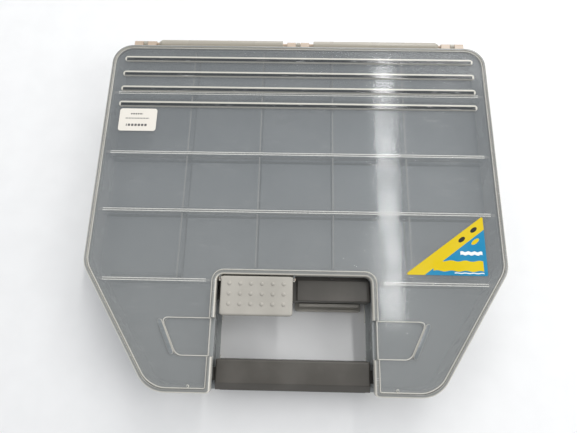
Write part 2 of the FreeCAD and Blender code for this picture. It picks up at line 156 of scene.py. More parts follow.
class CaseColours(bpy.types.PropertyGroup):
    plate: paint("Lid plate", "Smoky lid plastic near the hinges", (0.310, 0.330, 0.338))
    # The lobe colour is the plastic's paler tone, and also the target of the painted reflection
    # that pales the lid and middle floor towards the lobes.
    lobe: paint("Lid lobe", "Lid plastic in the two lobes", (0.37, 0.385, 0.38))
    # Painted highlight: the rim colour goes on steep faces and edges and stands in for light caught
    # along the clear plastic's edges.
    rim: paint("Rim", "Thick plastic where light runs along an edge", (0.74, 0.71, 0.63))
    edge: paint("Edge", "Flat top of the rims", (0.27, 0.275, 0.262))
    # Painted light on the lid beads: a painted shade for their middle and a painted highlight for
    # their lit side.
    depth: paint("Bead shade", "Shaded middle of the lid beads", (0.045, 0.050, 0.053))
    bead_light: paint("Bead light", "Lit side of the lid beads", (0.61, 0.59, 0.52))
    clear_bead: paint("Clear bead", "Beads beside the thumb recesses", (0.17, 0.185, 0.19))
    # Painted highlight: the thin beads and outlines on the lids are coloured pale and stand in for
    # light caught along them.
    lit_bead: paint("Lit bead", "Thin beads and outlines on the lids", (0.50, 0.485, 0.44))
    # Painted light: the lips' pale colour is a painted highlight on the wall tops, and their glow
    # is a painted glow.
    lip_highlight: paint("Lip", "Lips on the cross walls", (0.90, 0.88, 0.82))
    painted_lip_glow: paint("Lip glow", "Light that the lips gather", (0.90, 0.88, 0.80))
    scratch: paint("Scratch", "Scratches in the tray", (0.75, 0.75, 0.73))
    lid_scratch: paint("Lid scratch", "Scratches in the lids", (0.8, 0.8, 0.78))
    tray: paint("Tray", "Tray moulding", (0.30, 0.32, 0.325))
    floor: paint("Middle floor", "Middle floor seen through the lid", (0.275, 0.295, 0.302))
    strip: paint("Hinge strip", "Opaque hinge strips", (0.41, 0.38, 0.32))
    knuckle: paint("Knuckle", "Tan hinge knuckles and pins", (0.50, 0.40, 0.31))
    latch: paint("Latch", "Finger plates", (0.39, 0.37, 0.325))
    grip: paint("Grip", "Handle and latch keepers", (0.070, 0.064, 0.054))
    paper: paint("Paper", "Price label", (0.80, 0.76, 0.68))
    yellow: paint("Yellow", "Sticker's yellow band", (0.68, 0.50, 0.006))
    blue: paint("Blue", "Sticker's blue field", (0.012, 0.225, 0.41))
    white_ink: paint("White ink", "Sticker's white waves", (0.82, 0.82, 0.78))
    dark_ink: paint("Dark ink", "Sticker's dark spots", (0.025, 0.025, 0.02))
    film: paint("Film", "Pale grain of the sticker's film", (0.9, 0.9, 0.85))
    dash: paint("Dash", "Dashes on the price label", (0.06, 0.06, 0.06))
    ground: paint("Ground", "Darker tone of the pale floor", (0.86, 0.86, 0.85))
    ground_light: paint("Ground light", "Lighter tone of the pale floor", (0.88, 0.88, 0.87))


# Node trees


def put(tree, kind, sockets=None, **settings):
    """Adds a node: settings go on the node, and each socket gets a value or a link."""
    made = tree.nodes.new(kind)
    for key, value in settings.items():
        setattr(made, key, value)
    for key, value in (sockets or {}).items():
        if isinstance(value, bpy.types.NodeSocket):
            tree.links.new(value, made.inputs[key])
        else:
            made.inputs[key].default_value = value
    return made


def calc(tree, operation, *values):
    return put(tree, "ShaderNodeMath", dict(enumerate(values)), operation=operation).outputs[0]


def ramp(tree, value, low, high, to_low=0.0, to_high=1.0):
    """A smooth step of a value between two levels."""
    sockets = {"Value": value, "From Min": low, "From Max": high,
               "To Min": to_low, "To Max": to_high}
    return put(tree, "ShaderNodeMapRange", sockets, interpolation_type="SMOOTHSTEP").outputs[0]


def blend(tree, factor, first, second):
    """A colour that goes from first to second."""
    made = put(tree, "ShaderNodeMix", data_type="RGBA")
    for index, value in ((0, factor), (6, first), (7, second)):
        socket = made.inputs[index]
        if isinstance(value, bpy.types.NodeSocket):
            tree.links.new(value, socket)
        elif isinstance(value, (int, float)):
            socket.default_value = value
        else:
            socket.default_value = (*value, 1)
    return made.outputs[2]


def between(tree, factor, first, second):
    """A value that goes from first to second."""
    sockets = {0: factor, 2: first, 3: second}
    return put(tree, "ShaderNodeMix", sockets, data_type="FLOAT").outputs[0]


def window(tree, value, low, high, soft):
    """One inside a range of values and nought outside it."""
    rise = ramp(tree, value, low - soft, low + soft)
    fall = ramp(tree, value, high - soft, high + soft)
    return calc(tree, "SUBTRACT", rise, fall)


def place(tree):
    """The piece's own X, Y and Z."""
    split = put(tree, "ShaderNodeSeparateXYZ",
                {0: put(tree, "ShaderNodeTexCoord").outputs["Object"]})
    return split.outputs[0], split.outputs[1], split.outputs[2]


def open_group(name, inputs, outputs):
    """A shader node group with named float inputs and outputs."""
    tree = bpy.data.node_groups.new(name, "ShaderNodeTree")
    for label, value in inputs:
        socket = tree.interface.new_socket(label, in_out="INPUT", socket_type="NodeSocketFloat")
        socket.default_value = value
    for label in outputs:
        tree.interface.new_socket(label, in_out="OUTPUT", socket_type="NodeSocketFloat")
    return tree, tree.nodes.new("NodeGroupInput"), tree.nodes.new("NodeGroupOutput")


def steep_faces_group():
    """Where the surface leans away from flat: edges, bead sides and steps."""
    tree, given, out = open_group("Steep Faces", [("From", 0.02), ("To", 0.35)], ["Steep"])
    normal = put(tree, "ShaderNodeTexCoord").outputs["Normal"]
    rise = put(tree, "ShaderNodeSeparateXYZ", {0: normal}).outputs[2]
    lean = calc(tree, "SUBTRACT", 1.0, calc(tree, "ABSOLUTE", rise))
    mask = ramp(tree, lean, given.outputs[0], given.outputs[1])
    tree.links.new(mask, out.inputs[0])
    return tree


def scuffs_group():
    """Fine straight hairline scratches in two directions, with cloudy wear."""
    tree, given, out = open_group("Hairline Scuffs", [("Amount", 0.5), ("Fineness", 1.0)],
                                  ["Scratch", "Haze"])
    where = put(tree, "ShaderNodeTexCoord").outputs["Object"]
    lines = []
    for turn, seed in ((0.5, 3.1), (-0.9, 7.7)):
        sockets = {"Vector": where, "Rotation": (0, 0, turn), "Location": (seed, seed, 0),
                   "Scale": (60, 1300, 60)}
        moved = put(tree, "ShaderNodeMapping", sockets).outputs[0]
        streak = put(tree, "ShaderNodeTexNoise", {"Vector": moved, "Scale": given.outputs[1],
                                                  "Detail": 1.0}).outputs[0]
        lines.append(ramp(tree, streak, 0.66, 0.72))
    both = calc(tree, "MAXIMUM", *lines)
    cloud = put(tree, "ShaderNodeTexNoise", {"Vector": where, "Scale": 26.0,
                                             "Detail": 4.0}).outputs[0]
    haze = ramp(tree, cloud, 0.35, 0.75)
    scratch = calc(tree, "MULTIPLY", calc(tree, "MULTIPLY", both, haze), given.outputs[0])
    tree.links.new(scratch, out.inputs[0])
    tree.links.new(haze, out.inputs[1])
    return tree


def grain_group():
    """The fine spark-eroded grain of satin mouldings, and slow unevenness in tone."""
    tree, given, out = open_group("Moulded Grain", [("Size", 900.0)], ["Height", "Tone"])
    where = put(tree, "ShaderNodeTexCoord").outputs["Object"]
    fine = put(tree, "ShaderNodeTexNoise", {"Vector": where, "Scale": given.outputs[0],
                                            "Detail": 2.0}).outputs[0]
    slow = put(tree, "ShaderNodeTexNoise", {"Vector": where, "Scale": 45.0,
                                            "Detail": 3.0}).outputs[0]
    tree.links.new(fine, out.inputs[0])
    tree.links.new(ramp(tree, slow, 0.3, 0.7), out.inputs[1])
    return tree


GROUP_MAKERS = {"Steep Faces": steep_faces_group, "Hairline Scuffs": scuffs_group,
                "Moulded Grain": grain_group}


def use_group(tree, name, **inputs):
    """Places a shared group in a material, and makes it the first time it is asked for."""
    group = bpy.data.node_groups.get(name) or GROUP_MAKERS[name]()
    made = tree.nodes.new("ShaderNodeGroup")
    made.node_tree = group
    for label, value in inputs.items():
        made.inputs[label].default_value = value
    return made.outputs


def new_material(name, roughness=None, **constants):
    """Makes a finish, sets its even values on the shader, and gives back tree and shader."""
    material = bpy.data.materials.new(name)
    material.use_nodes = True
    shader = material.node_tree.nodes["Principled BSDF"]
    if roughness is not None:
        shader.inputs["Roughness"].default_value = roughness
    for label, value in constants.items():
        shader.inputs[label.replace("_", " ")].default_value = value
    FINISHES[name] = material
    return material.node_tree, shader


def bump(tree, shader, height, strength, distance=0.0002):
    sockets = {"Height": height, "Strength": strength, "Distance": distance}
    made = put(tree, "ShaderNodeBump", sockets)
    tree.links.new(made.outputs[0], shader.inputs["Normal"])


def dress(names, finish):
    """Gives a finish to CAD nodes."""
    for name in names:
        node = frame["nodes"][name]
        node.data.materials.clear()
        node.data.materials.append(FINISHES[finish])


# Mesh helpers


def edges_of(verts):
    """The edges that touch some vertices, each once and always in the same order."""
    return list(dict.fromkeys(edge for vert in verts for edge in vert.link_edges))


def soften(bm, edges, offset, segments):
    """Rounds edges."""
    bmesh.ops.bevel(bm, geom=edges, offset=offset, offset_type="OFFSET", segments=segments,
                    profile=0.5, affect="EDGES", material=-1, clamp_overlap=True)


def block(bm, low, high, soft):
    """A block between two corners, with chamfered edges."""
    low, high = Vector(low), Vector(high)
    made = bmesh.ops.create_cube(bm, size=1)["verts"]
    bmesh.ops.scale(bm, vec=high - low, verts=made)
    bmesh.ops.translate(bm, vec=(high + low) / 2, verts=made)
    soften(bm, edges_of(made), soft, 1)


def round_bar(bm, centre, size, turn=0.0):
    """A bead with round ends and a softened top, lying along X and then turned about Z."""
    made = bmesh.ops.create_cube(bm, size=1)["verts"]
    bmesh.ops.scale(bm, vec=size, verts=made)
    upright = [edge for edge in edges_of(made)
               if abs(edge.verts[0].co.z - edge.verts[1].co.z) > size[2] / 2]
    before = set(bm.verts) - set(made)
    bmesh.ops.bevel(bm, geom=upright, offset=size[1] * 0.495, offset_type="OFFSET", segments=6,
                    profile=0.5, affect="EDGES", material=-1)
    top = size[2] / 2
    mine = [vert for vert in bm.verts if vert not in before]
    rim = [edge for edge in edges_of(mine)
           if all(abs(end.co.z - top) < NEAR for end in edge.verts)]
    soften(bm, rim, size[2] * 0.45, 3)
    mine = [vert for vert in bm.verts if vert not in before]
    bmesh.ops.rotate(bm, cent=(0, 0, 0), matrix=Matrix.Rotation(turn, 3, "Z"), verts=mine)
    bmesh.ops.translate(bm, vec=centre, verts=mine)


def case_corners():
    """The case's plan corners, each with the length that the rim bead's rounding takes."""
    size = bpy.context.scene.case_sizes
    end = LID_LOW.y
    right = [(size.notch_half, size.notch_top, size.notch_round),
             (size.notch_half, end, size.foot_round),
             (size.lobe_half, end, size.lobe_round),
             (LID_HIGH.x, size.shoulder, size.shoulder_round),
             (LID_HIGH.x, size.hinge_edge, size.corner_round)]
    return right + [(-x, y, reach) for x, y, reach in reversed(right)]


def flat_sheet(bm, corners, inset, height):
    """One flat face through the corners, drawn in from its edge and rounded at each corner."""
    bm.faces.new([bm.verts.new((x, y, height)) for x, y, _ in corners])
    bm.normal_update()
    if inset:
        bmesh.ops.delete(bm, geom=draw_in(bm, inset), context="FACES")
    for x, y, reach in corners:
        corner = Vector((x, y, height))
        near = min(bm.verts, key=lambda vert: (vert.co - corner).length)
        bmesh.ops.bevel(bm, geom=[near], offset=reach, offset_type="OFFSET", segments=7,
                        profile=0.5, affect="VERTICES", material=-1)


def draw_in(bm, amount):
    """Insets the whole sheet and gives back the border that this leaves."""
    return bmesh.ops.inset_region(bm, faces=bm.faces[:], thickness=amount, use_boundary=True,
                                  use_even_offset=True)["faces"]


def ring_bead(bm, corners, inset, width, bottom, height):
    """A raised line that follows an outline all round."""
    flat_sheet(bm, corners, inset, bottom)
    border = draw_in(bm, width)
    outside = set(border)
    inner = [face for face in bm.faces if face not in outside]
    bmesh.ops.delete(bm, geom=inner, context="FACES")
    grown = bmesh.ops.extrude_face_region(bm, geom=border, use_keep_orig=True)["geom"]
    lifted = [item for item in grown if isinstance(item, bmesh.types.BMVert)]
    bmesh.ops.translate(bm, verts=lifted, vec=(0, 0, height))
    bm.normal_update()
    level = bottom + height
    rim = [edge for edge in bm.edges if all(abs(end.co.z - level) < NEAR for end in edge.verts)
           and any(abs(face.normal.z) < 0.5 for face in edge.link_faces)]
    soften(bm, rim, min(width, height) * 0.4, 2)


def open_notch_sides(bm, low, high, reach):
    """Takes a stretch out of the beads beside the notch, and closes their ends."""
    for y in (low, high):
        bmesh.ops.bisect_plane(bm, geom=bm.verts[:] + bm.edges[:] + bm.faces[:],
                               plane_co=(0, y, 0), plane_no=(0, 1, 0))
    middles = [(face, face.calc_center_median()) for face in bm.faces]
    gone = [face for face, middle in middles if abs(middle.x) < reach and low < middle.y < high]
    bmesh.ops.delete(bm, geom=gone, context="FACES")
    bmesh.ops.holes_fill(bm, edges=[edge for edge in bm.edges if edge.is_boundary], sides=0)


def dome(bm, centre, radius, rise, axis):
    """A shallow round head that stands out along an axis."""
    made = bmesh.ops.create_uvsphere(bm, u_segments=20, v_segments=10, radius=1)["verts"]
    bmesh.ops.scale(bm, vec=(radius, radius, rise), verts=made)
    turn = Vector((0, 0, 1)).rotation_difference(Vector(axis)).to_matrix()
    bmesh.ops.rotate(bm, cent=(0, 0, 0), matrix=turn, verts=made)
    bmesh.ops.translate(bm, vec=centre, verts=made)


def add_piece(name, shape, body, finish, rear=False, smooth=True):
    """Builds a piece on the front side, turns it round to the rear if asked, and rides it."""
    mesh = bpy.data.meshes.new(name)
    bm = bmesh.new()
    shape(bm)
    if rear:
        half_turn = Matrix.Rotation(math.pi, 3, "Y")
        bmesh.ops.rotate(bm, cent=(0, 0, MIDDLE), matrix=half_turn, verts=bm.verts[:])
    bmesh.ops.recalc_face_normals(bm, faces=bm.faces[:])
    if not bm.faces:
        raise RuntimeError(name + " came out empty")
    bm.to_mesh(mesh)
    bm.free()
    mesh.polygons.foreach_set("use_smooth", [smooth] * len(mesh.polygons))
    if smooth:
        mesh.set_sharp_from_angle(angle=math.radians(50))
    piece = bpy.data.objects.new(name, mesh)
    bpy.context.scene.collection.objects.link(piece)
    mesh.materials.append(FINISHES[finish])
    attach(piece, body)


def on_both_sides(name, shape, body, finish, smooth=True):
    """The same piece for the front and the rear; a lid's piece rides on its own lid."""
    for side, rear in (("front", False), ("rear", True)):
        rider = body if body == "case" else side + "_" + body
        add_piece(side + "_" + name, shape, rider, finish, rear, smooth)


def add_pin_heads(name, pin, wider, rise, body):
    """Adds a domed head at both ends of a pin, wider than the pin by a factor."""
    low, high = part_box(pin)
    radius = (high.y - low.y) / 2 * wider
    line_y, line_z = (low.y + high.y) / 2, (low.z + high.z) / 2

    def shape(bm):
        for x, side in ((low.x, -1), (high.x, 1)):
            dome(bm, (x, line_y, line_z), radius, rise, (side, 0, 0))

    on_both_sides(name, shape, body, "Tan Pin")


# Finishes


def clear_plastic(name, colour, alpha, roughness, bright_flat=False, lit=None):
    """Smoky plastic that takes a painted highlight, in another colour and alpha, on its steep faces
    and edges.

    The two alphas are for the body and the edges. With bright_flat the painted highlight goes on
    the level faces instead, as on a wall top seen from above.
    """
    colours = bpy.context.scene.case_colours
    tree, shader = new_material(name, IOR=1.49)
    steep = use_group(tree, "Steep Faces", From=0.04, To=0.3)["Steep"]
    edge = calc(tree, "SUBTRACT", 1.0, steep) if bright_flat else steep
    scuffs = use_group(tree, "Hairline Scuffs", Amount=0.35, Fineness=1.0)
    base = blend(tree, calc(tree, "MULTIPLY", scuffs["Haze"], 0.25), colour, colours.lobe)
    # Painted highlight: steep faces, or level faces with bright_flat, take the pale rim colour.
    base = blend(tree, edge, base, colours.rim if lit is None else lit)
    base = blend(tree, scuffs["Scratch"], base, colours.scratch)
    tree.links.new(base, shader.inputs["Base Color"])
    tree.links.new(between(tree, edge, *alpha), shader.inputs["Alpha"])
    tree.links.new(calc(tree, "ADD", calc(tree, "MULTIPLY", scuffs["Haze"], 0.12), roughness),
                   shader.inputs["Roughness"])
    bump(tree, shader, scuffs["Scratch"], 0.15)
    return tree, shader


def tray_finish():
    """Tray shell: nearly opaque smoky plastic with opaque pale hinge strips."""
    colours = bpy.context.scene.case_colours
    tree, shader = clear_plastic("Tray Shell", colours.lobe, (0.95, 0.85), 0.24,
                                 lit=colours.lobe)
    _, y, z = place(tree)
    height = calc(tree, "ABSOLUTE", calc(tree, "SUBTRACT", z, MIDDLE))
    strip = calc(tree, "MULTIPLY", ramp(tree, y, HINGE_START, HINGE_END),
                 ramp(tree, height, *STRIP_RISE))
    old = shader.inputs["Base Color"].links[0].from_socket
    tree.links.new(blend(tree, strip, old, colours.strip), shader.inputs["Base Color"])
    old = shader.inputs["Alpha"].links[0].from_socket
    tree.links.new(between(tree, strip, old, 1.0), shader.inputs["Alpha"])


def rib_bands(tree, x, y):
    """The lid beads' zone, and inside it the masks of the painted highlight on the hinge side, far
    side and round ends.
    """
    along = ramp(tree, calc(tree, "ABSOLUTE", x), *RIB_END, 1.0, 0.0)
    zone = calc(tree, "MULTIPLY", window(tree, y, *RIB_ZONE, 0.0002), along)
    step = calc(tree, "DIVIDE", calc(tree, "SUBTRACT", y, RIB_CENTRE - RIB_PITCH / 2), RIB_PITCH)
    across = calc(tree, "SUBTRACT", calc(tree, "FRACT", step), 0.5)
    upper = ramp(tree, across, *RIB_UPPER)
    lower = ramp(tree, across, *RIB_LOWER)
    ends = ramp(tree, calc(tree, "ABSOLUTE", x), *RIB_ROUND_END)
    return zone, upper, lower, ends


def lid_finish():
    """Smoky lid, paler towards the lobes as a painted reflection, with painted highlights on its
    rims, steep faces and bead sides, painted shade in the beads' middle, and tan knuckles.
    """
    colours = bpy.context.scene.case_colours
    tree, shader = new_material("Smoke Lid", IOR=1.49)
    x, y, z = place(tree)
    height = calc(tree, "ABSOLUTE", calc(tree, "SUBTRACT", z, MIDDLE))
    raised = ramp(tree, height, *(PLATE_TOP - MIDDLE + rise for rise in RAISED))
    steep = use_group(tree, "Steep Faces", From=0.03, To=0.3)["Steep"]
    scuffs = use_group(tree, "Hairline Scuffs", Amount=0.5, Fineness=1.0)
    zone, upper, lower, ends = rib_bands(tree, x, y)
    sides = calc(tree, "MAXIMUM", upper, calc(tree, "MULTIPLY", lower, 0.5))
    lit = calc(tree, "MAXIMUM", sides, ends)
    zone = calc(tree, "MULTIPLY", zone, raised)
    knuckle = calc(tree, "MULTIPLY", ramp(tree, y, HINGE_START, HINGE_END),
                   ramp(tree, height, *KNUCKLE_RISE))
    # Painted reflection: the lid pales towards the lobes.
    lobe = ramp(tree, y, *LID_FADE)
    base = blend(tree, lobe, colours.plate, colours.lobe)
    base = blend(tree, calc(tree, "MULTIPLY", scuffs["Haze"], 0.12), base, colours.lobe)
    base = blend(tree, raised, base, colours.edge)
    # Painted highlight: the lid's steep faces take the pale rim colour.
    base = blend(tree, steep, base, colours.rim)
    # Painted light on the beads: a highlight on the hinge side, far side and round ends, and
    # painted shade between them.
    bead = blend(tree, lit, colours.depth, colours.bead_light)
    base = blend(tree, zone, base, bead)
    base = blend(tree, scuffs["Scratch"], base, colours.lid_scratch)
    base = blend(tree, knuckle, base, colours.knuckle)
    alpha = between(tree, lobe, 0.30, 0.36)
    alpha = between(tree, raised, alpha, 0.85)
    alpha = between(tree, steep, alpha, 1.0)
    alpha = between(tree, zone, alpha, between(tree, lit, 0.85, 0.98))
    alpha = between(tree, knuckle, alpha, 1.0)
    tree.links.new(base, shader.inputs["Base Color"])
    tree.links.new(alpha, shader.inputs["Alpha"])
    tree.links.new(ramp(tree, scuffs["Haze"], 0.0, 1.0, 0.07, 0.14), shader.inputs["Roughness"])
    bump(tree, shader, scuffs["Scratch"], 0.2)


def floor_finish():
    """Middle floor: dense smoky sheet that gives the closed case its grey."""
    colours = bpy.context.scene.case_colours
    tree, shader = new_material("Middle Floor", IOR=1.49)
    _, y, _ = place(tree)
    scuffs = use_group(tree, "Hairline Scuffs", Amount=0.3, Fineness=0.8)
    # Painted reflection: the middle floor pales a little towards the lobes.
    lobe = ramp(tree, y, *FLOOR_FADE)
    base = blend(tree, calc(tree, "MULTIPLY", lobe, 0.25), colours.floor, colours.lobe)
    base = blend(tree, calc(tree, "MULTIPLY", scuffs["Haze"], 0.2), base, colours.tray)
    tree.links.new(base, shader.inputs["Base Color"])
    tree.links.new(ramp(tree, scuffs["Haze"], 0.0, 1.0, 0.95, 0.98), shader.inputs["Alpha"])
    tree.links.new(ramp(tree, scuffs["Haze"], 0.0, 1.0, 0.3, 0.45), shader.inputs["Roughness"])
    bump(tree, shader, scuffs["Haze"], 0.1, 0.0005)


def satin_finish(name, colour, grain, roughness, lighter=0.12, gloss=0.5):
    """Opaque moulded plastic with a fine grain."""
    tree, shader = new_material(name, IOR=1.46, Specular_IOR_Level=gloss)
    grain_out = use_group(tree, "Moulded Grain", Size=grain)
    paler = [min(1.0, part * (1 + 2 * lighter) + 0.01) for part in colour]
    base = blend(tree, grain_out["Tone"], colour, paler)
    tree.links.new(base, shader.inputs["Base Color"])
    tree.links.new(ramp(tree, grain_out["Tone"], 0.0, 1.0, roughness, roughness + 0.1),
                   shader.inputs["Roughness"])
    bump(tree, shader, grain_out["Height"], 0.25, 0.0001)
    return shader


def label_finish():
    """White paper with three rows of blank grey dashes."""
    colours = bpy.context.scene.case_colours
    tree, shader = new_material("Label Paper")
    x, y, _ = place(tree)
    low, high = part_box("price_label")
    width, depth = high.x - low.x, high.y - low.y
    rows = []
    for (centre, half), (left, right), dashes in LABEL_ROWS:
        row = window(tree, y, low.y + depth * (centre - half),
                     low.y + depth * (centre + half), 0.0002)
        span = window(tree, x, low.x + width * left, low.x + width * right, 0.0002)
        part = calc(tree, "FRACT", calc(tree, "DIVIDE", x, dashes))
        gap = window(tree, part, 0.18, 0.88, 0.06)
        rows.append(calc(tree, "MULTIPLY", calc(tree, "MULTIPLY", row, span), gap))
    ink = calc(tree, "MAXIMUM", calc(tree, "MAXIMUM", rows[0], rows[1]), rows[2])
    grain = use_group(tree, "Moulded Grain", Size=1600.0)
    base = blend(tree, grain["Tone"], colours.paper, [part * 0.96 for part in colours.paper])
    base = blend(tree, calc(tree, "MULTIPLY", ink, 0.95), base, colours.dash)
    tree.links.new(base, shader.inputs["Base Color"])
    tree.links.new(ramp(tree, grain["Tone"], 0.0, 1.0, 0.5, 0.62), shader.inputs["Roughness"])
    bump(tree, shader, grain["Height"], 0.1, 0.0001)


def sticker_finish():
    """Printed film: a yellow band along the long edge and a blue field below it."""
    colours = bpy.context.scene.case_colours
    tree, shader = new_material("Sticker Film", Specular_IOR_Level=0.12)
    x, y, _ = place(tree)
    low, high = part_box("corner_sticker")
    across = calc(tree, "DIVIDE", calc(tree, "SUBTRACT", x, low.x), high.x - low.x)
    up = calc(tree, "DIVIDE", calc(tree, "SUBTRACT", y, low.y), high.y - low.y)
    side = calc(tree, "SUBTRACT", calc(tree, "SUBTRACT", across, up), 0.215)
    field = ramp(tree, side, -0.004, 0.004)
    grain = use_group(tree, "Moulded Grain", Size=700.0)
    base = blend(tree, field, colours.yellow, colours.blue)
    base = blend(tree, calc(tree, "MULTIPLY", grain["Tone"], 0.02), base, colours.film)
    tree.links.new(base, shader.inputs["Base Color"])
    tree.links.new(ramp(tree, grain["Tone"], 0.0, 1.0, 0.28, 0.38), shader.inputs["Roughness"])
    bump(tree, shader, grain["Height"], 0.05, 0.0001)


# Operators


class CASE_OT_clear_parts(bpy.types.Operator):
    """Gives the tray, floor, cross walls and dividers their smoky clear plastic, with painted
    highlights on the wall and divider tops
    """
    bl_idname = "case.clear_parts"
    bl_label = "Clear Parts"

    def execute(self, context):
        colours = context.scene.case_colours
        tray_finish()
        floor_finish()
        # Painted highlight on the tops of the cross walls and dividers, through bright_flat.
        clear_plastic("Cross Wall", colours.tray, (0.12, 0.35), 0.22, bright_flat=True)
        clear_plastic("Divider Plate", colours.tray, (0.08, 0.42), 0.18, bright_flat=True)
        clear_plastic("Scoop", colours.tray, (0.12, 0.2), 0.25)
        clear_plastic("Clear Bead", colours.clear_bead, (1.0, 1.0), 0.2)
        # Painted highlight: Lit Bead is a pale finish for the thin clear beads and outlines.
        satin_finish("Lit Bead", colours.lit_bead, 500.0, 0.25, lighter=0.05)
        # Painted highlight and painted glow: the lips glow though they are no lamp.
        lip_highlight = satin_finish("Lip Highlight", colours.lip_highlight, 500.0, 0.25, lighter=0.03)
        lip_highlight.inputs["Emission Color"].default_value = (*colours.painted_lip_glow, 1)
        lip_highlight.inputs["Emission Strength"].default_value = 0.6
        dress(SLOT_NODES["clear_tray"], "Cross Wall")
        dress(SLOT_NODES["clear_divider"], "Divider Plate")
        dress(["tray_shell"], "Tray Shell")
        dress(["middle_floor"], "Middle Floor")
        return {"FINISHED"}


class CASE_OT_lids(bpy.types.Operator):
    """Gives both lids their smoky plastic with pale rims and lit beads"""
    bl_idname = "case.lids"
    bl_label = "Lids"

    def execute(self, context):
        lid_finish()
        dress(SLOT_NODES["smoke_lid"], "Smoke Lid")
        return {"FINISHED"}


class CASE_OT_rim_beads(bpy.types.Operator):
    """Adds the thin bead that runs round each lid inside its rim, coloured pale as a painted
    highlight
    """
    bl_idname = "case.rim_beads"
    bl_label = "Rim Beads"

    def execute(self, context):
        size = context.scene.case_sizes

        sunk = 0.0002
        reach = size.notch_half + 0.01

        def shape(bm):
            ring_bead(bm, case_corners(), size.bead_inset, size.bead_width, PLATE_TOP - sunk,
                      size.bead_height + sunk)
            open_notch_sides(bm, size.recess_bottom, size.recess_top, reach)

        on_both_sides("rim_bead", shape, "lid", "Lit Bead")
        return {"FINISHED"}


class CASE_OT_recess_beads(bpy.types.Operator):
    """Adds the round-ended bead on the sloped side of each thumb recess, and its outline, which is
    coloured pale as a painted highlight
    """
    bl_idname = "case.recess_beads"
    bl_label = "Recess Beads"

    def execute(self, context):
        size = context.scene.case_sizes
        bead_top, bead_foot = (0.1072, -0.1035), (0.0945, -0.1300)
        gap = 0.0002
        low, high = size.recess_bottom + gap, size.recess_top - gap
        corners = [(0.0657, low, 0.0005), (0.0918, low, 0.0048), (0.1062, high, 0.0058),
                   (0.0657, high, 0.0005)]

        def shape(bm):
            for side in (-1, 1):
                upper = Vector((side * bead_top[0], bead_top[1], 0))
                lower = Vector((side * bead_foot[0], bead_foot[1], 0))
                run = upper - lower
                centre = (upper + lower) / 2 + Vector((0, 0, PLATE_TOP))
                round_bar(bm, centre, (run.length, size.recess_bead, size.recess_rise),
                          math.atan2(run.y, run.x))

        def outline(bm):
            ring_bead(bm, corners, 0.0, size.recess_line, PLATE_TOP - size.recess_depth,
                      size.recess_depth + 0.0001)
            bmesh.ops.mirror(bm, geom=bm.verts[:] + bm.edges[:] + bm.faces[:], axis="X",
                             merge_dist=1e-6)

        on_both_sides("recess_beads", shape, "lid", "Clear Bead")
        on_both_sides("recess_lines", outline, "lid", "Lit Bead")
        return {"FINISHED"}


class CASE_OT_wall_lips(bpy.types.Operator):
    """Adds the two thin lips along the top of each cross wall, finished with a painted highlight
    and a painted glow
    """
    bl_idname = "case.wall_lips"
    bl_label = "Wall Lips"

    def execute(self, context):
        size = context.scene.case_sizes
        width, short, sunk = size.lip_width, 0.004, 0.0001

        def shape(bm):
            for name in ROW_WALLS + BIN_WALLS:
                low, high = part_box(name)
                for edge in (low.y, high.y - width):
                    block(bm, (low.x + short, edge, high.z - sunk),
                          (high.x - short, edge + width, high.z + size.lip_rise), width / 5)

        on_both_sides("wall_lips", shape, "case", "Lip Highlight")
        return {"FINISHED"}


class CASE_OT_scoops(bpy.types.Operator):
    """Adds the curved scoop at the foot of each row, so that small parts slide up to the hand"""
    bl_idname = "case.scoops"
    bl_label = "Scoops"

    def execute(self, context):
        size = context.scene.case_sizes
        radius = size.scoop_radius
        end_gap, wall_gap, bin_gap = 0.0004, 0.0002, 0.0012
        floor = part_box("middle_floor")[1].z
        plates = [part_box("front_divider_1_%d" % column) for column in (1, 2, 3, 4)]
        left = [WALL_LOW.x] + [high.x for _, high in plates]
        right = [low.x for low, _ in plates] + [WALL_HIGH.x]

        def strip(bm, start, end, wall):
            first = bm.verts.new((start + end_gap, wall + wall_gap, floor + radius))
            second = bm.verts.new((end - end_gap, wall + wall_gap, floor + radius))
            line = bm.edges.new((first, second))
            bmesh.ops.spin(bm, geom=[first, second, line], axis=(1, 0, 0), steps=7,
                           cent=(0, wall + radius, floor + radius + wall_gap),
                           angle=math.pi / 2, use_merge=False, use_duplicate=False)

        def front(bm):
            for name in ROW_WALLS:
                for start, end in zip(left, right):
                    strip(bm, start, end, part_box(name)[1].y)
            bin_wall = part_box(BIN_WALLS[0])[1].y
            strip(bm, -size.scoop_end, left[1] - bin_gap, bin_wall)
            strip(bm, right[3] + bin_gap, size.scoop_end, bin_wall)
            bmesh.ops.solidify(bm, geom=bm.faces[:], thickness=size.scoop_skin)

        def rear(bm):
            for name in ROW_WALLS:
                strip(bm, left[0], right[-1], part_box(name)[1].y)
            bmesh.ops.solidify(bm, geom=bm.faces[:], thickness=size.scoop_skin)

        add_piece("front_scoops", front, "case", "Scoop")
        add_piece("rear_scoops", rear, "case", "Scoop", rear=True)
        return {"FINISHED"}


class CASE_OT_hinges(bpy.types.Operator):
    """Finishes the tan hinge pins and adds the domed heads on their outer ends"""
    bl_idname = "case.hinges"
    bl_label = "Hinges"

    def execute(self, context):
        satin_finish("Tan Pin", context.scene.case_colours.knuckle, 700.0, 0.35)
        dress(SLOT_NODES["tan_pin"], "Tan Pin")
        add_pin_heads("hinge_pin_heads", "front_hinge_pins", 1.35,
                      context.scene.case_sizes.pin_dome, "case")
        return {"FINISHED"}


class CASE_OT_latches(bpy.types.Operator):
    """Finishes the latches in light satin grey and adds their pin heads"""
    bl_idname = "case.latches"
    bl_label = "Latches"

    def execute(self, context):
        satin_finish("Latch Grey", context.scene.case_colours.latch, 900.0, 0.42, lighter=0.06)
        dress(SLOT_NODES["latch_grey"], "Latch Grey")
        add_pin_heads("latch_pin_heads", "front_latch_pin", 1.3,
                      context.scene.case_sizes.latch_dome, "lid")
        return {"FINISHED"}


